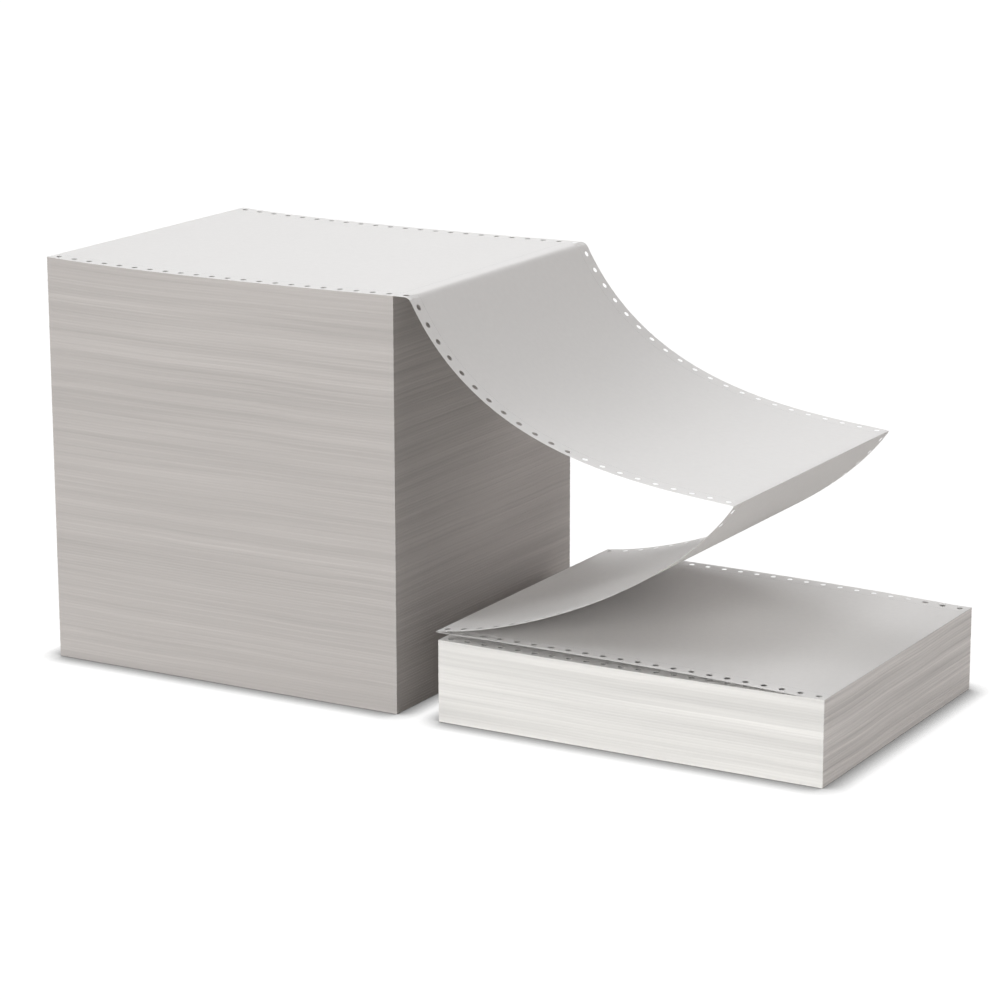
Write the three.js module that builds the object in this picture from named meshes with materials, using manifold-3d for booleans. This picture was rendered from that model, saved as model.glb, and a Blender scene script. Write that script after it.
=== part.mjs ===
// Continuous form paper, fanfolded: a tall stack, the sheets that run off its top, and the low stack
// that they fold down into. It is one unbroken web of paper, so it is one solid.
// Sizes are in millimetres. X runs along the web from the tall stack to the low one, Y across it, Z up.
// The origin is on the floor, midway between the outer ends of the two stacks.

import * as THREE from "three";
import { mergeVertices } from "three/addons/utils/BufferGeometryUtils.js";
import Module from "manifold-3d";

// The form: 9 1/2 by 11 inch sheets, with a row of tractor holes every half inch down both edges.
const FORM_WIDTH = 241.3;
const SHEET_LENGTH = 279.4;
const SHEET_THICKNESS = 0.1;
const FOLD_RADIUS = 0.5;
const HOLE_PITCH = 12.7;
const HOLE_DIAMETER = 4;
const HOLE_TO_EDGE = 6;

// The two stacks, the tall one's top measured at the face that the web leaves by.
const TALL_HEIGHT = 284.5;
const TALL_REAR_RISE = 1.8;
const TALL_TOP_SAG = 4.2;
const TALL_SAG_AT = 0.3;
const LOW_HEIGHT = 57.8;
const LOW_INNER_DROP = 1.2;
const LOW_TOP_SAG = 1.8;
const LOW_SAG_AT = 0.5;
const STACK_GAP = 32.3;

// The folded sides: sheets lie in bundles, with a shallow groove between one bundle's folds and the next.
const BUNDLE_HEIGHT = 3.2;
const GROOVE_OPENING = 0.7;
const GROOVE_DEPTH = 0.5;
const FOLD_UNEVENNESS = 0.2;

// The swooping sheet: it overhangs the tall stack, bends down, and levels out to the high fold.
// Angles are in degrees from level, and a pull is how far a curve keeps to its end's direction.
const OVERHANG = 8.3;
const BEND_RADIUS = 6;
const SWOOP_START_ANGLE = 61.5;
const SWOOP_START_PULL = 107;
const SWOOP_END_ANGLE = 5.3;
const SWOOP_END_PULL = 70.4;
const HIGH_FOLD_REACH = 246.7;
const HIGH_FOLD_DROP = 110.8;

// The falling sheet: it drops back from the high fold to the low fold, over the low stack's inner side.
const FALL_START_ANGLE = 55;
const FALL_START_PULL = 79;
const FALL_END_ANGLE = 4.5;
const FALL_END_PULL = 57;
const LOW_FOLD_OVERHANG = 1.7;
const LOW_FOLD_LIFT = 4.1;

// The landing sheet: it springs up off the low stack and settles just short of its far side.
const LANDING_START_ANGLE = 0.6;
const LANDING_START_PULL = 85;
const LANDING_END_ANGLE = 2.5;
const LANDING_END_PULL = 80;
const LANDED_LENGTH = 13;

// Faces that stand in for curves.
const SWOOP_STEPS = 20;
const FALL_STEPS = 18;
const LANDING_STEPS = 12;
const TOP_STEPS = 10;
const BEND_STEPS = 6;
const FOLD_STEPS = 5;
const HOLE_SIDES = 8;

// How far a hole's cutter goes past the paper, and past the foot of a stack.
const CUTTER_REACH = 0.7;

const PAPER_COLOUR = 0xe9e7e3;

const tallFace = SHEET_LENGTH;
const lowInnerFace = tallFace + STACK_GAP;
const lowOuterFace = lowInnerFace + SHEET_LENGTH;
const landing = new THREE.Vector2(lowOuterFace - LANDED_LENGTH, LOW_HEIGHT - SHEET_THICKNESS / 2);

const library = await Module();
library.setup();

// The unit vector that points a number of degrees up from +X.
function heading(degrees) {
  const angle = THREE.MathUtils.degToRad(degrees);
  return new THREE.Vector2(Math.cos(angle), Math.sin(angle));
}

function leftOf(direction) {
  return new THREE.Vector2(-direction.y, direction.x);
}

// A free sheet from start to end, leaving along one heading and arriving along another.
function freeSheet(start, startHeading, startPull, end, endHeading, endPull) {
  return new THREE.CubicBezierCurve(
    start,
    start.clone().addScaledVector(startHeading, startPull),
    end.clone().addScaledVector(endHeading, -endPull),
    end,
  );
}

// A fold about a centre: the web arrives along one heading, turns on a small radius and leaves along another.
function fold(centre, headingIn, headingOut) {
  const turn = Math.sign(headingIn.cross(headingOut));
  const from = leftOf(headingIn).multiplyScalar(-turn).angle();
  const to = leftOf(headingOut).multiplyScalar(-turn).angle();
  return new THREE.EllipseCurve(centre.x, centre.y, FOLD_RADIUS, FOLD_RADIUS, from, to, turn < 0);
}

// The centre line of the paper between the tall stack's face and its landing on the low stack.
const swoopStart = heading(-SWOOP_START_ANGLE);
const swoopEnd = heading(-SWOOP_END_ANGLE);
const fallStart = heading(180 + FALL_START_ANGLE);
const fallEnd = heading(180 + FALL_END_ANGLE);
const landingStart = heading(LANDING_START_ANGLE);
const landingEnd = heading(-LANDING_END_ANGLE);

const highFold = fold(
  new THREE.Vector2(tallFace + HIGH_FOLD_REACH, TALL_HEIGHT - HIGH_FOLD_DROP),
  swoopEnd,
  fallStart,
);
const lowFold = fold(
  new THREE.Vector2(lowInnerFace - LOW_FOLD_OVERHANG, LOW_HEIGHT + LOW_FOLD_LIFT),
  fallEnd,
  landingStart,
);

const crease = new THREE.Vector2(tallFace, TALL_HEIGHT - SHEET_THICKNESS / 2);
const bendStart = crease.clone().add(new THREE.Vector2(OVERHANG, 0));
const bend = new THREE.EllipseCurve(
  bendStart.x,
  bendStart.y - BEND_RADIUS,
  BEND_RADIUS,
  BEND_RADIUS,
  Math.PI / 2,
  Math.PI / 2 - THREE.MathUtils.degToRad(SWOOP_START_ANGLE),
  true,
);
const swoop = freeSheet(
  bend.getPoint(1),
  swoopStart,
  SWOOP_START_PULL,
  highFold.getPoint(0),
  swoopEnd,
  SWOOP_END_PULL,
);
const fall = freeSheet(
  highFold.getPoint(1),
  fallStart,
  FALL_START_PULL,
  lowFold.getPoint(0),
  fallEnd,
  FALL_END_PULL,
);
const settle = freeSheet(
  lowFold.getPoint(1),
  landingStart,
  LANDING_START_PULL,
  landing,
  landingEnd,
  LANDING_END_PULL,
);

// The centre line as one chain of points, each stretch leaving out the point that the last one ended on.
function centreLine() {
  const stretches = [
    [bend, BEND_STEPS],
    [swoop, SWOOP_STEPS],
    [highFold, FOLD_STEPS],
    [fall, FALL_STEPS],
    [lowFold, FOLD_STEPS],
    [settle, LANDING_STEPS],
  ];
  const points = [crease, bendStart];
  for (const [curve, steps] of stretches) {
    points.push(...curve.getPoints(steps).slice(1));
  }
  return points;
}

// The chain of points moved sideways, to its left or, with a negative distance, to its right.
function offsetLine(points, distance) {
  return points.map((point, i) => {
    const before = points[Math.max(i - 1, 0)];
    const after = points[Math.min(i + 1, points.length - 1)];
    const arriving = (i > 0 ? point.clone().sub(before) : after.clone().sub(point)).normalize();
    const leaving = (i < points.length - 1 ? after.clone().sub(point) : arriving.clone()).normalize();
    const normal = leftOf(arriving).add(leftOf(leaving)).normalize();
    return point.clone().addScaledVector(normal, distance / normal.dot(leftOf(leaving)));
  });
}

// A stack's folded side from its foot to its top. Folds alternate from side to side, so the grooves
// of one side lie half a bundle above those of the other. The folds stand back unevenly from the face.
function foldedSide(face, inward, top, firstGroove) {
  const pitch = top / Math.round(top / BUNDLE_HEIGHT);
  const points = [new THREE.Vector2(face, 0)];
  for (let z = firstGroove * pitch; z < top - pitch / 4; z += pitch) {
    const unevenness = FOLD_UNEVENNESS * (0.5 + 0.3 * Math.sin(z * 0.9) + 0.2 * Math.sin(z * 2.3));
    const nose = face + inward * unevenness;
    const valley = nose + inward * GROOVE_DEPTH;
    points.push(new THREE.Vector2(nose, z - GROOVE_OPENING / 2));
    points.push(new THREE.Vector2(valley, z));
    points.push(new THREE.Vector2(nose, z + GROOVE_OPENING / 2));
  }
  points.push(new THREE.Vector2(face, top));
  return points;
}

// A stack's top from its left end to its right end, sagging towards a point between them.
function saggingTop(left, right, sag, sagAt) {
  const middle = left.clone().lerp(right, sagAt);
  middle.y -= sag;
  return new THREE.QuadraticBezierCurve(left, middle, right).getPoints(TOP_STEPS);
}

// The paper's outline seen from its cut edge, anticlockwise from the tall stack's foot.
function outline() {
  const line = centreLine();
  const upperSide = offsetLine(line, SHEET_THICKNESS / 2);
  const underside = offsetLine(line, -SHEET_THICKNESS / 2);
  const tallRearTop = TALL_HEIGHT + TALL_REAR_RISE;
  const lowInnerTop = LOW_HEIGHT - LOW_INNER_DROP;

  const tallInner = foldedSide(tallFace, -1, TALL_HEIGHT - SHEET_THICKNESS, 0.5);
  const lowTop = saggingTop(
    new THREE.Vector2(lowInnerFace, lowInnerTop),
    underside.at(-1),
    LOW_TOP_SAG,
    LOW_SAG_AT,
  );
  const lowInner = foldedSide(lowInnerFace, 1, lowInnerTop, 1);
  const lowOuter = foldedSide(lowOuterFace, -1, LOW_HEIGHT, 0.5);
  const tallTop = saggingTop(
    new THREE.Vector2(0, tallRearTop),
    upperSide[0],
    TALL_TOP_SAG,
    TALL_SAG_AT,
  );
  const tallRear = foldedSide(0, 1, tallRearTop, 1);

  return [
    ...tallInner.slice(0, -1),
    ...underside,
    ...lowTop.reverse().slice(1),
    ...lowInner.reverse().slice(1),
    ...lowOuter,
    ...upperSide.reverse(),
    ...tallTop.reverse().slice(1),
    ...tallRear.reverse().slice(1),
  ];
}

// A closed three.js geometry as a solid that can be joined and cut.
function solidOf(geometry) {
  geometry.deleteAttribute("normal");
  geometry.deleteAttribute("uv");
  const merged = mergeVertices(geometry);
  return new library.Manifold(
    new library.Mesh({
      numProp: 3,
      vertProperties: merged.attributes.position.array,
      triVerts: new Uint32Array(merged.index.array),
    }),
  );
}

function geometryOf(solid) {
  const { vertProperties, triVerts } = solid.getMesh();
  const geometry = new THREE.BufferGeometry();
  geometry.setAttribute("position", new THREE.BufferAttribute(vertProperties, 3));
  geometry.setIndex(new THREE.BufferAttribute(triVerts, 1));
  geometry.computeVertexNormals();
  return geometry;
}

// Both tractor holes of one station, as cutters about a point of the outline, square to a tilt in degrees.
function holePair(point, tilt, below, above) {
  return [-1, 1].map((side) => {
    const cutter = new THREE.CylinderGeometry(
      HOLE_DIAMETER / 2,
      HOLE_DIAMETER / 2,
      below + above,
      HOLE_SIDES,
    );
    cutter.rotateX(Math.PI / 2);
    cutter.translate(0, 0, (above - below) / 2);
    cutter.rotateY(-THREE.MathUtils.degToRad(tilt));
    cutter.translate(point.x, side * (FORM_WIDTH / 2 - HOLE_TO_EDGE), point.y);
    return solidOf(cutter);
  });
}

// Where a curve that runs one way along X has a given X.
function heightAt(curve, x) {
  let low = 0;
  let high = 1;
  for (let i = 0; i < 30; i += 1) {
    const middle = (low + high) / 2;
    if (curve.getPoint(middle).x < x) {
      low = middle;
    } else {
      high = middle;
    }
  }
  return curve.getPoint(low).y;
}

// The holes line up from sheet to sheet, so each station is one shaft down through a whole stack.
function stackHoles(face, topAt) {
  const count = Math.round(SHEET_LENGTH / HOLE_PITCH);
  const margin = (SHEET_LENGTH - (count - 1) * HOLE_PITCH) / 2;
  const cutters = [];
  for (let i = 0; i < count; i += 1) {
    const x = face + margin + i * HOLE_PITCH;
    cutters.push(...holePair(new THREE.Vector2(x, 0), 0, CUTTER_REACH, topAt(x) + CUTTER_REACH));
  }
  return cutters;
}

// The holes of a sheet in the air: evenly along it, half a pitch in from its folds, and square to the paper.
function webHoles(curves) {
  const path = new THREE.CurvePath();
  curves.forEach((curve) => path.add(curve));
  const count = Math.round(path.getLength() / HOLE_PITCH);
  const cutters = [];
  for (let i = 0; i < count; i += 1) {
    const along = (i + 0.5) / count;
    const tilt = THREE.MathUtils.radToDeg(path.getTangent(along).angle());
    cutters.push(...holePair(path.getPoint(along), tilt, CUTTER_REACH, CUTTER_REACH));
  }
  return cutters;
}

const slab = new THREE.ExtrudeGeometry(new THREE.Shape(outline()), {
  depth: FORM_WIDTH,
  bevelEnabled: false,
});
slab.rotateX(Math.PI / 2);
slab.translate(0, FORM_WIDTH / 2, 0);

const holes = [
  ...stackHoles(0, () => TALL_HEIGHT + TALL_REAR_RISE),
  ...stackHoles(lowInnerFace, (x) => (x < landing.x ? heightAt(settle, x) : LOW_HEIGHT)),
  ...webHoles([new THREE.LineCurve(crease, bendStart), bend, swoop]),
  ...webHoles([fall]),
].reduce((joined, hole) => joined.add(hole));

const paper = new THREE.Mesh(
  geometryOf(solidOf(slab).subtract(holes)),
  new THREE.MeshStandardMaterial({
    color: PAPER_COLOUR,
    roughness: 0.9,
    metalness: 0,
    flatShading: true,
  }),
);
paper.name = "fanfold_paper";
paper.position.x = -lowOuterFace / 2;

const fanfold = new THREE.Group();
fanfold.add(paper);

export default fanfold;
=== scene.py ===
"""Continuous form paper, fanfolded: a tall stack, the sheets that run off its top, and the low stack
that they fold down into. Lengths are in metres, angles in degrees from level unless they say otherwise.
"""

import math
import random

import bpy
from mathutils import Matrix, Vector, noise
from mathutils.geometry import interpolate_bezier


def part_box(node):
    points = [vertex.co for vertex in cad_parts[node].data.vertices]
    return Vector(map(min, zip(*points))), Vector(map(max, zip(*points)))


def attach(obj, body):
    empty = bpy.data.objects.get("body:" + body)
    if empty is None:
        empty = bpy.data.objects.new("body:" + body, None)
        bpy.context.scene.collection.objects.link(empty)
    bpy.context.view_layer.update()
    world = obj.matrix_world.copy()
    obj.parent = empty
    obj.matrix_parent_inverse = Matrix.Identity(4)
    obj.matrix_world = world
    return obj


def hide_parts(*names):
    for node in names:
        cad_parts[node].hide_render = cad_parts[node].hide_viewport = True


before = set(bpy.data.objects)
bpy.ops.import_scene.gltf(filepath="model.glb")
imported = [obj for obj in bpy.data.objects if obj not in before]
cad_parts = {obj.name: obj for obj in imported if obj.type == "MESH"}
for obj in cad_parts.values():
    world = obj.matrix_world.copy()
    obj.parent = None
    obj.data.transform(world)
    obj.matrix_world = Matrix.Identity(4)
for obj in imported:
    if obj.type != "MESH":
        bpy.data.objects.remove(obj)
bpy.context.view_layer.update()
NODE = "fanfold_paper"

# The form: half-inch cells, each with one tractor hole, make the strips down both edges.
CELL = 0.0127
SHEET_CELLS = 22
FORM_CELLS = 19
SHEET_LENGTH = SHEET_CELLS * CELL
FORM_WIDTH = FORM_CELLS * CELL
SHEET_THICKNESS = 0.0001
HOLE_RADIUS = 0.002
HOLE_TO_EDGE = 0.006

# The stacks, between the ends of the frame's box.
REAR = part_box(NODE)[0].x
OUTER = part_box(NODE)[1].x
TALL_FACE = REAR + SHEET_LENGTH
LOW_INNER = OUTER - SHEET_LENGTH
TALL_HEIGHT = 0.2845
TALL_REAR_RISE = 0.0018
TALL_TOP_SAG = 0.0042
TALL_SAG_AT = 0.3
LOW_HEIGHT = 0.0578
LOW_INNER_DROP = 0.0012
LOW_TOP_SAG = 0.0018
LOW_SAG_AT = 0.5

# The swooping sheet.
OVERHANG = 0.0083
BEND_RADIUS = 0.006
SWOOP_START_ANGLE = 61.5
SWOOP_START_PULL = 0.107
SWOOP_END_ANGLE = 5.3
SWOOP_END_PULL = 0.0704
HIGH_FOLD = Vector((TALL_FACE + 0.2467, 0, TALL_HEIGHT - 0.1108))

# The falling sheet.
FALL_START_ANGLE = 55
FALL_START_PULL = 0.079
FALL_END_ANGLE = 4.5
FALL_END_PULL = 0.057
FALL_CELLS = 20
LOW_FOLD = Vector((LOW_INNER - 0.0017, 0, LOW_HEIGHT + 0.0041))

# The landing sheet.
LANDING_START_ANGLE = 0.6
LANDING_START_PULL = 0.085
LANDING_END_ANGLE = 2.5
LANDING_END_PULL = 0.080
LANDED_LENGTH = 0.013
LANDING_MARGIN = 0.0016

FOLD_RADIUS = 0.0005
PATH_STEPS = 240
BEND_STEPS = 12
HAIR = 1e-6

# The bundles that show on the stacks' sides.
BUNDLE_HEIGHT = 0.0019
GROOVE_LIP = 0.00022
FOLD_GROOVE = 0.00016
CUT_GROOVE = 0.00005

# How much further in a bundle may lie: partly its own draw, partly a slow drift along the side.
FOLD_UNEVENNESS = 0.00018
FOLD_DRAW_SHARE = 0.55
FOLD_DRIFT_SCALE = (9, 300)
CUT_UNEVENNESS = 0.00014
CUT_DRAW_SHARE = 0.4
CUT_DRIFT_SCALE = (7, 260)
TALL_SEED = 11
LOW_SEED = 23

# The camera, fitted to the corners of both stacks. It stands this far round from +X, looking down.
CAMERA_PLACE = (1.129118, -1.982738, 0.696141)
CAMERA_AROUND = -60.22
CAMERA_ELEVATION = 14.09
CAMERA_ROLL = -0.13
CAMERA_LENS = 123.08
CAMERA_SIGHT = 100

# The paper's colours. Each side has a colour, the strength of its bands and the strength of its lines.
# The tall stack's sides are the same paper as the low stack's, painted darker as shade.
SHEET_WHITE = (0.785, 0.775, 0.760)
# The tall stack's sides: painted shade, a grey far darker than the paper's own edges.
TALL_CUT_SIDES_PAINTED_SHADE = ((0.49, 0.465, 0.447), 0.3, 0.2)
TALL_FOLDED_SIDES_PAINTED_SHADE = ((0.49, 0.465, 0.447), 0.3, 0.35)
LOW_CUT_SIDES = ((0.78, 0.77, 0.745), 0.5, 0.18)
LOW_FOLDED_SIDES = ((0.775, 0.752, 0.728), 0.4, 0.7)
# The shafts' walls: painted shade, darker than the paper, for the shade down the tractor holes.
SHAFT_WALLS_PAINTED_SHADE = ((0.52, 0.51, 0.495), 0.2, 0.3)

# The floor, and the soft boxes: name, angle round from +X, angle up, strength and colour.
FLOOR_COLOUR = (0.67, 0.65, 0.63)
SOFTBOX_SIZE = 30
SOFTBOXES = (
    ("rear_left", 135, 35, 0.85, (0.97, 0.98, 1.0)),
    ("left", 180, 35, 0.85, (0.97, 0.98, 1.0)),
    ("front_left", 225, 35, 0.85, (0.97, 0.98, 1.0)),
    ("front", 270, 10, 1.88, (1.0, 1.0, 1.0)),
    ("rear", 90, 10, 0.90, (1.0, 0.955, 0.96)),
    ("rear_right", 45, 10, 0.74, (1.0, 0.955, 0.96)),
    ("right_over", 0, 62, 0.44, (1.0, 1.0, 1.0)),
    ("over", 0, 90, 0.60, (1.0, 1.0, 1.0)),
)


MERGE_REACH = 1e-5


def heading(up, around=0):
    """The unit vector that points this far up from level and this far round from +X."""
    level = math.cos(math.radians(up))
    return Vector(
        (
            math.cos(math.radians(around)) * level,
            math.sin(math.radians(around)) * level,
            math.sin(math.radians(up)),
        )
    )


def deselect():
    if bpy.context.object and bpy.context.object.mode != "OBJECT":
        bpy.ops.object.mode_set(mode="OBJECT")
    bpy.ops.object.select_all(action="DESELECT")


def activate(*pieces):
    """Selects these pieces alone, the first of them active."""
    deselect()
    for piece in pieces:
        piece.select_set(True)
    bpy.context.view_layer.objects.active = pieces[0]


def edit():
    bpy.ops.object.mode_set(mode="EDIT")
    bpy.ops.mesh.select_all(action="SELECT")


def finish_edit():
    bpy.ops.object.mode_set(mode="OBJECT")


def apply_modifier(piece, kind, **settings):
    activate(piece)
    modifier = piece.modifiers.new(kind.title(), kind)
    for name, value in settings.items():
        setattr(modifier, name, value)
    bpy.ops.object.modifier_apply(modifier=modifier.name)


def repeat(piece, count, step, merge=False):
    """Copies a piece in a row, each copy one step further on."""
    apply_modifier(
        piece,
        "ARRAY",
        count=count,
        use_relative_offset=False,
        use_constant_offset=True,
        constant_offset_displace=step,
        use_merge_vertices=merge,
        merge_threshold=MERGE_REACH,
    )


def smooth(piece, angle):
    activate(piece)
    bpy.ops.object.shade_smooth_by_angle(angle=math.radians(angle))


def join(*pieces):
    activate(*pieces)
    bpy.ops.object.join()
    return pieces[0]


def apply_place(piece):
    activate(piece)
    bpy.ops.object.transform_apply(location=True, rotation=True, scale=True)


# The camera


def make_camera():
    back = heading(CAMERA_ELEVATION, CAMERA_AROUND)
    right = Vector((0, 0, 1)).cross(back).normalized()
    up = back.cross(right)
    upright = Matrix((right, up, back)).transposed()
    roll = Matrix.Rotation(math.radians(CAMERA_ROLL), 3, "Z")
    bpy.ops.object.camera_add(location=CAMERA_PLACE, rotation=(upright @ roll).to_euler())
    camera = bpy.context.object
    camera.data.lens = CAMERA_LENS
    camera.data.clip_end = CAMERA_SIGHT
    bpy.context.scene.camera = camera


# The paper's way through the air


def left_of(direction):
    return Vector((-direction.z, 0, direction.x))


def free_curve(start, start_heading, start_pull, end, end_heading, end_pull):
    """A sheet in the air from start to end, leaving along one heading and arriving along another."""
    return interpolate_bezier(
        start,
        start + start_heading * start_pull,
        end - end_heading * end_pull,
        end,
        PATH_STEPS,
    )


def sagging_curve(left, right, sag, sag_at):
    """A stack's top from its left end to its right end."""
    middle = left.lerp(right, sag_at) - Vector((0, 0, sag))
    return interpolate_bezier(
        left,
        left.lerp(middle, 2 / 3),
        right.lerp(middle, 2 / 3),
        right,
        PATH_STEPS,
    )


def tall_top_curve():
    left = Vector((REAR, 0, TALL_HEIGHT + TALL_REAR_RISE - SHEET_THICKNESS / 2))
    right = Vector((TALL_FACE, 0, TALL_HEIGHT - SHEET_THICKNESS / 2))
    return sagging_curve(left, right, TALL_TOP_SAG, TALL_SAG_AT)


def low_top_curve():
    left = Vector((LOW_INNER, 0, LOW_HEIGHT - LOW_INNER_DROP))
    right = Vector((OUTER - LANDED_LENGTH, 0, LOW_HEIGHT - SHEET_THICKNESS))
    return sagging_curve(left, right, LOW_TOP_SAG, LOW_SAG_AT)


def web_panels():
    """Each sheet from the tall stack's rear to the low stack's outer side: its cells, its curve, and
    how far its first cell is pushed along the curve.
    """
    crease = Vector((TALL_FACE, 0, TALL_HEIGHT - SHEET_THICKNESS / 2))
    landing = Vector((OUTER - LANDED_LENGTH, 0, LOW_HEIGHT - SHEET_THICKNESS / 2))
    outer_end = Vector((OUTER, 0, landing.z))
    swoop_start = heading(-SWOOP_START_ANGLE)
    swoop_end = heading(-SWOOP_END_ANGLE)
    fall_start = heading(180 + FALL_START_ANGLE)
    fall_end = heading(180 + FALL_END_ANGLE)
    landing_start = heading(LANDING_START_ANGLE)

    bend_centre = crease + Vector((OVERHANG, 0, -BEND_RADIUS))
    bend = [
        bend_centre + heading(90 - SWOOP_START_ANGLE * step / BEND_STEPS) * BEND_RADIUS
        for step in range(BEND_STEPS + 1)
    ]
    high_tip = HIGH_FOLD + (left_of(swoop_end) + left_of(fall_start)).normalized() * FOLD_RADIUS
    low_tip = LOW_FOLD - Vector((FOLD_RADIUS, 0, 0))
    swoop = free_curve(
        bend[-1],
        swoop_start,
        SWOOP_START_PULL,
        HIGH_FOLD + left_of(swoop_end) * FOLD_RADIUS,
        swoop_end,
        SWOOP_END_PULL,
    )
    fall = free_curve(
        HIGH_FOLD + left_of(fall_start) * FOLD_RADIUS,
        fall_start,
        FALL_START_PULL,
        LOW_FOLD - left_of(fall_end) * FOLD_RADIUS,
        fall_end,
        FALL_END_PULL,
    )
    settle = free_curve(
        LOW_FOLD - left_of(landing_start) * FOLD_RADIUS,
        landing_start,
        LANDING_START_PULL,
        landing,
        heading(-LANDING_END_ANGLE),
        LANDING_END_PULL,
    )
    return [
        (SHEET_CELLS, tall_top_curve(), 0),
        (SHEET_CELLS, [crease, *bend, *swoop[1:], high_tip], 0),
        (FALL_CELLS, [high_tip, *fall, low_tip], 0),
        (SHEET_CELLS, [low_tip, *settle, outer_end], LANDING_MARGIN),
    ]


def along(curve, distance):
    """The point this far along a curve, given as a list of points."""
    for start, end in zip(curve, curve[1:]):
        step = (end - start).length
        if distance <= step and step > 0:
            return start.lerp(end, max(distance, 0) / step)
        distance -= step
    return curve[-1].copy()


def curve_length(curve):
    return sum((end - start).length for start, end in zip(curve, curve[1:]))


def height_at(curve, x):
    """The height of a curve that runs along +X, where it has this x."""
    if x <= curve[0].x:
        return curve[0].z
    for start, end in zip(curve, curve[1:]):
        if start.x <= x <= end.x:
            return start.z + (end.z - start.z) * (x - start.x) / max(end.x - start.x, HAIR)
    return curve[-1].z


# The web, modelled flat and then bent to its way

CELL_STEPS = 8
FIELD_ROWS = 12
WEB_SMOOTH_ANGLE = 35


def edge_strip(cells):
    """The tear-off strip on the form's near side: half-inch cells in a row, each with its hole."""
    middle = FORM_WIDTH / 2 - CELL / 2
    deselect()
    bpy.ops.mesh.primitive_plane_add(size=CELL, location=(CELL / 2, -middle, 0))
    strip = bpy.context.object
    edit()
    bpy.ops.mesh.delete(type="ONLY_FACE")
    bpy.ops.mesh.select_all(action="SELECT")
    bpy.ops.mesh.subdivide(number_cuts=CELL_STEPS - 1)
    finish_edit()
    apply_place(strip)
    deselect()
    bpy.ops.mesh.primitive_circle_add(
        vertices=4 * CELL_STEPS,
        radius=HOLE_RADIUS,
        location=(CELL / 2, -FORM_WIDTH / 2 + HOLE_TO_EDGE, 0),
        rotation=(0, 0, math.radians(45)),
    )
    rim = bpy.context.object
    apply_place(rim)
    join(strip, rim)
    edit()
    bpy.ops.mesh.bridge_edge_loops()
    finish_edit()
    repeat(strip, cells, (CELL, 0, 0), merge=True)
    return strip


def flat_web(cells):
    """The strips of both edges and the field between them, laid out flat from the origin along +X."""
    near = edge_strip(cells)
    far = near.copy()
    far.data = near.data.copy()
    bpy.context.collection.objects.link(far)
    activate(far)
    edit()
    bpy.ops.transform.mirror(constraint_axis=(False, True, False), center_override=(0, 0, 0))
    finish_edit()
    deselect()
    bpy.ops.mesh.primitive_grid_add(
        x_subdivisions=cells * CELL_STEPS,
        y_subdivisions=FIELD_ROWS,
        size=1,
        location=(cells * CELL / 2, 0, 0),
    )
    field = bpy.context.object
    field.scale = (cells * CELL, FORM_WIDTH - 2 * CELL, 1)
    apply_place(field)
    web = join(near, far, field)
    edit()
    bpy.ops.mesh.remove_doubles(threshold=MERGE_REACH)
    bpy.ops.mesh.normals_make_consistent(inside=False)
    finish_edit()
    if sum(face.normal.z for face in web.data.polygons) < 0:
        activate(web)
        edit()
        bpy.ops.mesh.flip_normals()
        finish_edit()
    return web


def map_cells(web):
    """A UV map that counts half-inch cells along the web, and across it from its middle."""
    layer = web.data.uv_layers.new(name="Cells")
    for loop in web.data.loops:
        place = web.data.vertices[loop.vertex_index].co
        layer.data[loop.index].uv = (place.x / CELL, place.y / CELL)


def bend_web(web):
    """Moves every vertex from its place on the flat web to its place along the panels' curves."""
    spans = []
    start = 0
    for cells, curve, margin in web_panels():
        spans.append((start, start + cells * CELL, curve, margin, curve_length(curve)))
        start += cells * CELL
    columns = {}
    for vertex in web.data.vertices:
        flat = round(vertex.co.x, 7)
        if flat not in columns:
            first, last, curve, margin, length = next(span for span in spans if flat <= span[1] + HAIR)
            share = (flat - first) / (last - first)
            distance = 0 if share < HAIR else margin + (length - margin) * share
            columns[flat] = along(curve, distance)
        place = columns[flat]
        vertex.co = (place.x, vertex.co.y, place.z)


def make_web():
    cells = sum(panel[0] for panel in web_panels())
    web = flat_web(cells)
    web.name = "running_web"
    map_cells(web)
    bend_web(web)
    apply_modifier(web, "SOLIDIFY", thickness=SHEET_THICKNESS, offset=0)
    smooth(web, WEB_SMOOTH_ANGLE)
    return web


# The stacks

BUNDLE_SLACK = 0.02
FOLDED_SIDE_REACH = 3 * FOLD_GROOVE
CUT_SIDE_REACH = 3 * CUT_GROOVE
REAR_DRIFT, OUTER_DRIFT, NEAR_DRIFT, FAR_DRIFT = 0, 3, 5, 7
SHAFT_SIDES = 20
SHAFT_REACH = 0.002
STACK_SMOOTH_ANGLE = 25


def bundle_wall(pitch):
    """The wall of one bundle, round a sheet: blunt outside, and drawn in where the next bundle lies."""
    drawn_in = (1 - 2 * FOLD_GROOVE / SHEET_LENGTH, 1 - 2 * CUT_GROOVE / FORM_WIDTH, 1)
    let_out = tuple(1 / share for share in drawn_in)
    deselect()
    bpy.ops.mesh.primitive_grid_add(x_subdivisions=SHEET_CELLS, y_subdivisions=FORM_CELLS, size=1)
    wall = bpy.context.object
    wall.scale = (SHEET_LENGTH, FORM_WIDTH, 1)
    apply_place(wall)
    edit()
    bpy.ops.mesh.region_to_loop()
    bpy.ops.mesh.select_all(action="INVERT")
    bpy.ops.mesh.delete(type="VERT")
    bpy.ops.mesh.select_all(action="SELECT")
    bpy.ops.transform.resize(value=drawn_in, center_override=(0, 0, 0))
    blunt = pitch - 2 * GROOVE_LIP
    for rise, spread in ((GROOVE_LIP, let_out), (blunt, None), (GROOVE_LIP, drawn_in)):
        bpy.ops.mesh.extrude_edges_move(TRANSFORM_OT_translate={"value": (0, 0, rise)})
        if spread:
            bpy.ops.transform.resize(value=spread, center_override=(0, 0, 0))
    finish_edit()
    return wall


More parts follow.
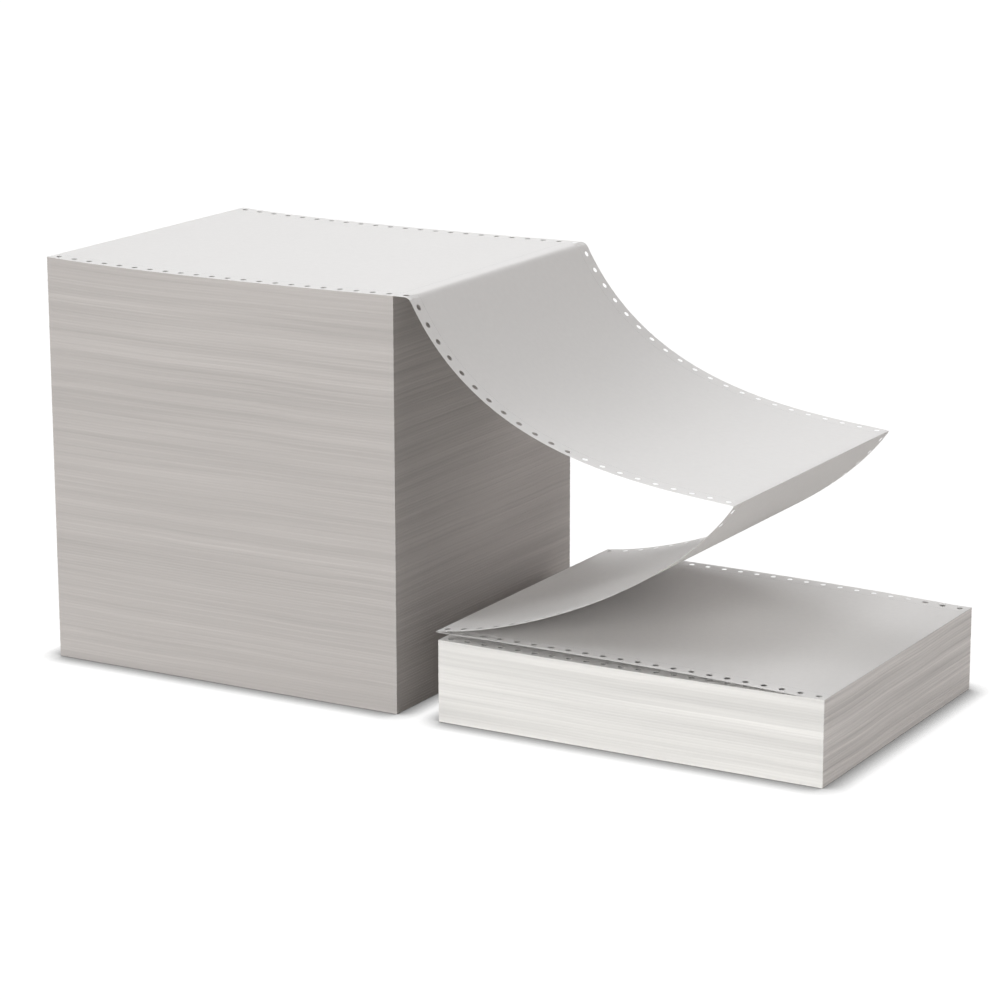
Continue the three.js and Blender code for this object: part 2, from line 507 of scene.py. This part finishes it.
def cap(height):
    """The sheet that closes a stack's top or foot, with the same steps along its sides as the walls."""
    deselect()
    bpy.ops.mesh.primitive_grid_add(
        x_subdivisions=SHEET_CELLS,
        y_subdivisions=FORM_CELLS,
        size=1,
        location=(0, 0, height),
    )
    sheet = bpy.context.object
    sheet.scale = (SHEET_LENGTH - 2 * FOLD_GROOVE, FORM_WIDTH - 2 * CUT_GROOVE, 1)
    apply_place(sheet)
    return sheet


def shift_in(drawn, share, where, height, scale, drift_seed):
    """How far in a bundle lies, from 0 to 1: its own draw, mixed with a drift along its side."""
    drift = 0.5 + 0.5 * noise.noise(Vector((where * scale[0], height * scale[1], drift_seed)))
    return share * drawn + (1 - share) * drift


def loosen(stack, pitch, seed):
    """Shifts each bundle in a little, on its folded and its cut sides, in some stretches more."""
    draw = random.Random(seed)
    levels = {}
    for vertex in stack.data.vertices:
        x, y, z = vertex.co
        level = math.floor(z / pitch + BUNDLE_SLACK)
        if level not in levels:
            levels[level] = [draw.random() for _ in range(4)]
        rear, outer, near, far = levels[level]
        if abs(abs(x) - SHEET_LENGTH / 2) < FOLDED_SIDE_REACH:
            drawn, drift = (outer, OUTER_DRIFT) if x > 0 else (rear, REAR_DRIFT)
            shift = shift_in(drawn, FOLD_DRAW_SHARE, y, z, FOLD_DRIFT_SCALE, seed + drift)
            vertex.co.x -= math.copysign(FOLD_UNEVENNESS * shift, x)
        if abs(abs(y) - FORM_WIDTH / 2) < CUT_SIDE_REACH:
            drawn, drift = (far, FAR_DRIFT) if y > 0 else (near, NEAR_DRIFT)
            shift = shift_in(drawn, CUT_DRAW_SHARE, x, z, CUT_DRIFT_SCALE, seed + drift)
            vertex.co.y -= math.copysign(CUT_UNEVENNESS * shift, y)


def settle_under(stack, centre, height, top):
    """Moves the stack to its place and presses its sheets down evenly under its sagging top."""
    for vertex in stack.data.vertices:
        x = vertex.co.x + centre
        vertex.co.x = x
        vertex.co.z *= (height_at(top, x) - SHEET_THICKNESS / 2) / height


def drill(stack, centre, top):
    """Cuts the tractor holes' shafts down through the stack."""
    deselect()
    bpy.ops.mesh.primitive_cylinder_add(
        vertices=SHAFT_SIDES,
        radius=HOLE_RADIUS,
        depth=top + 2 * SHAFT_REACH,
        location=(centre - SHEET_LENGTH / 2 + CELL / 2, -FORM_WIDTH / 2 + HOLE_TO_EDGE, top / 2),
    )
    shafts = bpy.context.object
    apply_place(shafts)
    repeat(shafts, SHEET_CELLS, (CELL, 0, 0))
    repeat(shafts, 2, (0, FORM_WIDTH - 2 * HOLE_TO_EDGE, 0))
    apply_modifier(stack, "BOOLEAN", object=shafts, operation="DIFFERENCE", solver="MANIFOLD")
    bpy.data.objects.remove(shafts)


def make_stack(name, inner_end, height, top, seed):
    """A block of folded sheets: bundles on each other, closed at top and foot, settled and drilled."""
    bundles = round(height / BUNDLE_HEIGHT)
    pitch = height / bundles
    centre = inner_end + SHEET_LENGTH / 2
    stack = bundle_wall(pitch)
    stack.name = name
    repeat(stack, bundles, (0, 0, pitch), merge=True)
    stack = join(stack, cap(0), cap(height))
    edit()
    bpy.ops.mesh.remove_doubles(threshold=MERGE_REACH)
    bpy.ops.mesh.normals_make_consistent(inside=False)
    finish_edit()
    loosen(stack, pitch, seed)
    settle_under(stack, centre, height, top)
    drill(stack, centre, height + TALL_REAR_RISE)
    smooth(stack, STACK_SMOOTH_ANGLE)
    return stack


# The materials

PAPER_ROUGHNESS = 0.9
PAPER_SHINE = 0.3
BUMP_STRENGTH = 0.5


def add_node(tree, kind, **settings):
    node = tree.nodes.new(kind)
    for name, value in settings.items():
        setattr(node, name, value)
    return node


def new_material(name):
    """A material with an empty Principled surface, as (material, tree, surface)."""
    material = bpy.data.materials.new(name)
    material.use_nodes = True
    tree = material.node_tree
    surface = tree.nodes["Principled BSDF"]
    surface.inputs["Roughness"].default_value = PAPER_ROUGHNESS
    surface.inputs["Specular IOR Level"].default_value = PAPER_SHINE
    return material, tree, surface


def new_group(name, inputs, outputs):
    """A shader node group with these named float, vector or colour sockets."""
    group = bpy.data.node_groups.new(name, "ShaderNodeTree")
    for label, kind in inputs:
        group.interface.new_socket(label, in_out="INPUT", socket_type="NodeSocket" + kind)
    for label, kind in outputs:
        group.interface.new_socket(label, in_out="OUTPUT", socket_type="NodeSocket" + kind)
    return group, group.nodes.new("NodeGroupInput"), group.nodes.new("NodeGroupOutput")


def math_node(tree, operation, first, second=0):
    """A Math node fed by two sockets or numbers, as its output socket."""
    node = add_node(tree, "ShaderNodeMath", operation=operation)
    for socket, value in zip(node.inputs, (first, second)):
        if isinstance(value, (int, float)):
            socket.default_value = value
        else:
            tree.links.new(value, socket)
    return node.outputs[0]


def noise_value(tree, vector, scale, detail):
    node = add_node(tree, "ShaderNodeTexNoise")
    node.inputs["Scale"].default_value = scale
    node.inputs["Detail"].default_value = detail
    tree.links.new(vector, node.inputs["Vector"])
    return node.outputs["Fac"]


def stretched(tree, vector, scale):
    node = add_node(tree, "ShaderNodeMapping")
    node.inputs["Scale"].default_value = scale
    tree.links.new(vector, node.inputs["Vector"])
    return node.outputs["Vector"]


def swing(tree, pattern, strength):
    """A pattern's swing about its middle, times its strength."""
    return math_node(tree, "MULTIPLY", math_node(tree, "SUBTRACT", pattern, 0.5), strength)


CLOUD_SCALE = 260
CLOUD_DETAIL = 3
CLOUD_STRENGTH = 0.05
TOOTH_SCALE = 2600
TOOTH_DETAIL = 2
TOOTH_HEIGHT = 0.00002


def make_fibre_group():
    """The cloudy look-through and the fine tooth of uncoated bond."""
    group, given, result = new_group(
        "bond fibre",
        [("Vector", "Vector"), ("Cloud", "Float")],
        [("Tone", "Float"), ("Height", "Float")],
    )
    cloud = noise_value(group, given.outputs["Vector"], CLOUD_SCALE, CLOUD_DETAIL)
    tooth = noise_value(group, given.outputs["Vector"], TOOTH_SCALE, TOOTH_DETAIL)
    clouds = swing(group, cloud, given.outputs["Cloud"])
    group.links.new(math_node(group, "ADD", clouds, 1.0), result.inputs["Tone"])
    group.links.new(tooth, result.inputs["Height"])
    return group


BAND_SWAY = 0.006
SWAY_SCALE = 9
SWAY_DETAIL = 1
BAND_STRETCH = (3, 3, 160)
BAND_DETAIL = 2
LINE_STRETCH = (4, 4, 620)
LINE_DETAIL = 1
LINE_HEIGHT = 0.00004


def make_layer_group():
    """Sheets' edges in a pile: broad soft bands that wander a little, and fine lines between them."""
    group, given, result = new_group(
        "sheet edges",
        [("Vector", "Vector"), ("Bands", "Float"), ("Lines", "Float")],
        [("Tone", "Float"), ("Height", "Float")],
    )
    place = given.outputs["Vector"]
    split = add_node(group, "ShaderNodeSeparateXYZ")
    group.links.new(place, split.inputs[0])
    sway = swing(group, noise_value(group, place, SWAY_SCALE, SWAY_DETAIL), BAND_SWAY)
    level = math_node(group, "ADD", split.outputs["Z"], sway)
    swayed = add_node(group, "ShaderNodeCombineXYZ")
    group.links.new(split.outputs["X"], swayed.inputs["X"])
    group.links.new(split.outputs["Y"], swayed.inputs["Y"])
    group.links.new(level, swayed.inputs["Z"])
    broad = noise_value(group, stretched(group, swayed.outputs[0], BAND_STRETCH), 1, BAND_DETAIL)
    fine = noise_value(group, stretched(group, swayed.outputs[0], LINE_STRETCH), 1, LINE_DETAIL)
    bands = swing(group, broad, given.outputs["Bands"])
    lines = swing(group, fine, given.outputs["Lines"])
    tone = math_node(group, "ADD", math_node(group, "ADD", bands, lines), 1.0)
    group.links.new(tone, result.inputs["Tone"])
    group.links.new(fine, result.inputs["Height"])
    return group


def place_group(tree, group, **values):
    node = add_node(tree, "ShaderNodeGroup", node_tree=group)
    for name, value in values.items():
        if isinstance(value, (int, float)):
            node.inputs[name].default_value = value
        else:
            tree.links.new(value, node.inputs[name])
    return node


def shaded(tree, colour, tone):
    """A colour made lighter or darker by a factor, as a colour socket."""
    node = add_node(tree, "ShaderNodeVectorMath", operation="SCALE")
    node.inputs[0].default_value = colour
    tree.links.new(tone, node.inputs["Scale"])
    return node.outputs["Vector"]


def add_bump(tree, surface, height, distance):
    node = add_node(tree, "ShaderNodeBump")
    node.inputs["Distance"].default_value = distance
    node.inputs["Strength"].default_value = BUMP_STRENGTH
    tree.links.new(height, node.inputs["Height"])
    tree.links.new(node.outputs["Normal"], surface.inputs["Normal"])


CUTS_IN_CELL = 10
CUT_SHARE = 0.7
CUT_HALF_WIDTH = 0.006
CUT_DARKNESS = 0.45
# The ring round each tractor hole is painted shade.
HOLE_SHADE_WIDTH = 0.00045
HOLE_SHADE_DARKNESS = 0.12


def hole_shade_ring(tree, u, v):
    """A mask of a narrow ring of painted shade round every hole of the web's map."""
    middle = (FORM_WIDTH / 2 - HOLE_TO_EDGE) / CELL
    along_web = math_node(tree, "SUBTRACT", math_node(tree, "FRACT", u), 0.5)
    across_web = math_node(tree, "SUBTRACT", math_node(tree, "ABSOLUTE", v), middle)
    square = math_node(
        tree,
        "ADD",
        math_node(tree, "MULTIPLY", along_web, along_web),
        math_node(tree, "MULTIPLY", across_web, across_web),
    )
    return math_node(tree, "LESS_THAN", square, ((HOLE_RADIUS + HOLE_SHADE_WIDTH) / CELL) ** 2)


def perforation(tree, across, line, along_line):
    """A mask of the small cuts along one line of the web's map."""
    distance = math_node(tree, "ABSOLUTE", math_node(tree, "SUBTRACT", across, line))
    on_line = math_node(tree, "LESS_THAN", distance, CUT_HALF_WIDTH)
    step = math_node(tree, "FRACT", math_node(tree, "MULTIPLY", along_line, CUTS_IN_CELL))
    in_cut = math_node(tree, "LESS_THAN", step, CUT_SHARE)
    return math_node(tree, "MULTIPLY", on_line, in_cut)


def make_sheet_material(fibre, perforated):
    """White bond. On the web, it has the tear-off lines down both edges, a line at every fold and a
    ring of painted shade round every hole.
    """
    material, tree, surface = new_material("bond_sheet_perforated" if perforated else "bond_sheet")
    place = add_node(tree, "ShaderNodeTexCoord").outputs["Object"]
    bond = place_group(tree, fibre, Vector=place, Cloud=CLOUD_STRENGTH)
    tone = bond.outputs["Tone"]
    if perforated:
        cells = add_node(tree, "ShaderNodeUVMap", uv_map="Cells").outputs["UV"]
        split = add_node(tree, "ShaderNodeSeparateXYZ")
        tree.links.new(cells, split.inputs[0])
        u, v = split.outputs["X"], split.outputs["Y"]
        strip_line = FORM_WIDTH / 2 / CELL - 1
        mask = perforation(tree, math_node(tree, "ABSOLUTE", v), strip_line, u)
        fold = 0
        for cells_in_sheet, _, _ in web_panels():
            fold += cells_in_sheet
            mask = math_node(tree, "MAXIMUM", mask, perforation(tree, u, fold, v))
        cuts = math_node(tree, "MULTIPLY", mask, CUT_DARKNESS)
        # Painted shade round the holes.
        hole_shades = math_node(tree, "MULTIPLY", hole_shade_ring(tree, u, v), HOLE_SHADE_DARKNESS)
        shade = math_node(tree, "SUBTRACT", 1.0, math_node(tree, "MAXIMUM", cuts, hole_shades))
        tone = math_node(tree, "MULTIPLY", tone, shade)
    tree.links.new(shaded(tree, SHEET_WHITE, tone), surface.inputs["Base Color"])
    add_bump(tree, surface, bond.outputs["Height"], TOOTH_HEIGHT)
    return material


def make_edge_material(name, layers, finish):
    """The side of a pile of sheets."""
    colour, bands, lines = finish
    material, tree, surface = new_material(name)
    place = add_node(tree, "ShaderNodeTexCoord").outputs["Object"]
    pile = place_group(tree, layers, Vector=place, Bands=bands, Lines=lines)
    tree.links.new(shaded(tree, colour, pile.outputs["Tone"]), surface.inputs["Base Color"])
    add_bump(tree, surface, pile.outputs["Height"], LINE_HEIGHT)
    return material


LEVEL_NORMAL = 0.95
SHEET, CUT, FOLDED, PUNCHED = range(4)


def dress_stack(stack, sheet, cut, folded, punched):
    """Sheet on the top and the foot, and a finish each for cut sides, folded sides and shafts; the
    shafts' finish is painted shade, darker than the paper.
    """
    stack.data.materials.clear()
    for material in (sheet, cut, folded, punched):
        stack.data.materials.append(material)
    left = min(vertex.co.x for vertex in stack.data.vertices)
    right = max(vertex.co.x for vertex in stack.data.vertices)
    for face in stack.data.polygons:
        end = min(face.center.x - left, right - face.center.x)
        side = FORM_WIDTH / 2 - abs(face.center.y)
        if abs(face.normal.z) > LEVEL_NORMAL:
            face.material_index = SHEET
        elif min(end, side) < HOLE_TO_EDGE - 2 * HOLE_RADIUS:
            face.material_index = CUT if side < end else FOLDED
        else:
            face.material_index = PUNCHED


# The floor and the light


def seen_directly(tree):
    """1 where a ray comes from the camera, a mirror or a window, and 0 where it carries light."""
    path = add_node(tree, "ShaderNodeLightPath")
    seen = math_node(
        tree,
        "MAXIMUM",
        path.outputs["Is Camera Ray"],
        path.outputs["Is Glossy Ray"],
    )
    return math_node(tree, "MAXIMUM", seen, path.outputs["Is Transmission Ray"])


FLOOR_SIZE = 60
FLOOR_DROP = 0.0002
CONTACT_SAMPLES = 6
CONTACT_REACH = 0.018
CONTACT_DEPTH = 2.3
FLOOR_GLOW = 0.86
FLOOR_WHITE = 1.13


def make_floor():
    """A plain pale floor that shows as white, with the object's shadow where it stands."""
    deselect()
    bpy.ops.mesh.primitive_plane_add(size=FLOOR_SIZE, location=(0, 0, -FLOOR_DROP))
    floor = bpy.context.object
    floor.name = "floor"
    material = bpy.data.materials.new("pale_floor")
    material.use_nodes = True
    tree = material.node_tree
    tree.nodes.clear()
    matt = add_node(tree, "ShaderNodeBsdfDiffuse")
    matt.inputs["Color"].default_value = (*FLOOR_COLOUR, 1)
    contact = add_node(tree, "ShaderNodeAmbientOcclusion", samples=CONTACT_SAMPLES)
    contact.inputs["Distance"].default_value = CONTACT_REACH
    glow = add_node(tree, "ShaderNodeEmission")
    shade = math_node(tree, "POWER", contact.outputs["AO"], CONTACT_DEPTH)
    tree.links.new(math_node(tree, "MULTIPLY", shade, FLOOR_WHITE), glow.inputs["Strength"])
    mix = add_node(tree, "ShaderNodeMixShader")
    tree.links.new(math_node(tree, "MULTIPLY", seen_directly(tree), FLOOR_GLOW), mix.inputs["Fac"])
    tree.links.new(matt.outputs[0], mix.inputs[1])
    tree.links.new(glow.outputs[0], mix.inputs[2])
    out = add_node(tree, "ShaderNodeOutputMaterial")
    tree.links.new(mix.outputs[0], out.inputs["Surface"])
    floor.data.materials.append(material)


def make_light():
    """Soft boxes all round the object and over it, in a white room."""
    for name, around, up, strength, colour in SOFTBOXES:
        facing = heading(up, around).to_track_quat("Z", "Y").to_euler()
        deselect()
        bpy.ops.object.light_add(type="SUN", rotation=facing)
        softbox = bpy.context.object
        softbox.name = name
        softbox.data.energy = strength
        softbox.data.angle = math.radians(SOFTBOX_SIZE)
        softbox.data.color = colour

    world = bpy.data.worlds.new("white_room")
    bpy.context.scene.world = world
    world.use_nodes = True
    tree = world.node_tree
    backdrop = tree.nodes["Background"]
    backdrop.inputs["Color"].default_value = (1, 1, 1, 1)
    tree.links.new(seen_directly(tree), backdrop.inputs["Strength"])


make_camera()

web = make_web()
tall_pile = TALL_HEIGHT - SHEET_THICKNESS
low_pile = LOW_HEIGHT - SHEET_THICKNESS
tall_stack = make_stack("tall_stack", REAR, tall_pile, tall_top_curve(), TALL_SEED)
low_stack = make_stack("low_stack", LOW_INNER, low_pile, low_top_curve(), LOW_SEED)

fibre = make_fibre_group()
layers = make_layer_group()
plain_sheet = make_sheet_material(fibre, perforated=False)
web.data.materials.clear()
web.data.materials.append(make_sheet_material(fibre, perforated=True))
# The tall stack's edge finishes carry painted shade.
tall_cut_shaded = make_edge_material("tall_stack_cut_edges_painted_shade", layers, TALL_CUT_SIDES_PAINTED_SHADE)
tall_folds_shaded = make_edge_material("tall_stack_folds_painted_shade", layers, TALL_FOLDED_SIDES_PAINTED_SHADE)
low_cut = make_edge_material("low_stack_cut_edges", layers, LOW_CUT_SIDES)
low_folds = make_edge_material("low_stack_folds", layers, LOW_FOLDED_SIDES)
# The shafts' walls are painted darker as shade.
shaft_wall_painted_shade = make_edge_material("shaft_wall_painted_shade", layers, SHAFT_WALLS_PAINTED_SHADE)
dress_stack(tall_stack, plain_sheet, tall_cut_shaded, tall_folds_shaded, shaft_wall_painted_shade)
dress_stack(low_stack, plain_sheet, low_cut, low_folds, shaft_wall_painted_shade)

for piece in (web, tall_stack, low_stack):
    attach(piece, "root")
    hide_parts(NODE)

make_floor()
make_light()
bpy.context.scene.view_settings.view_transform = "Standard"
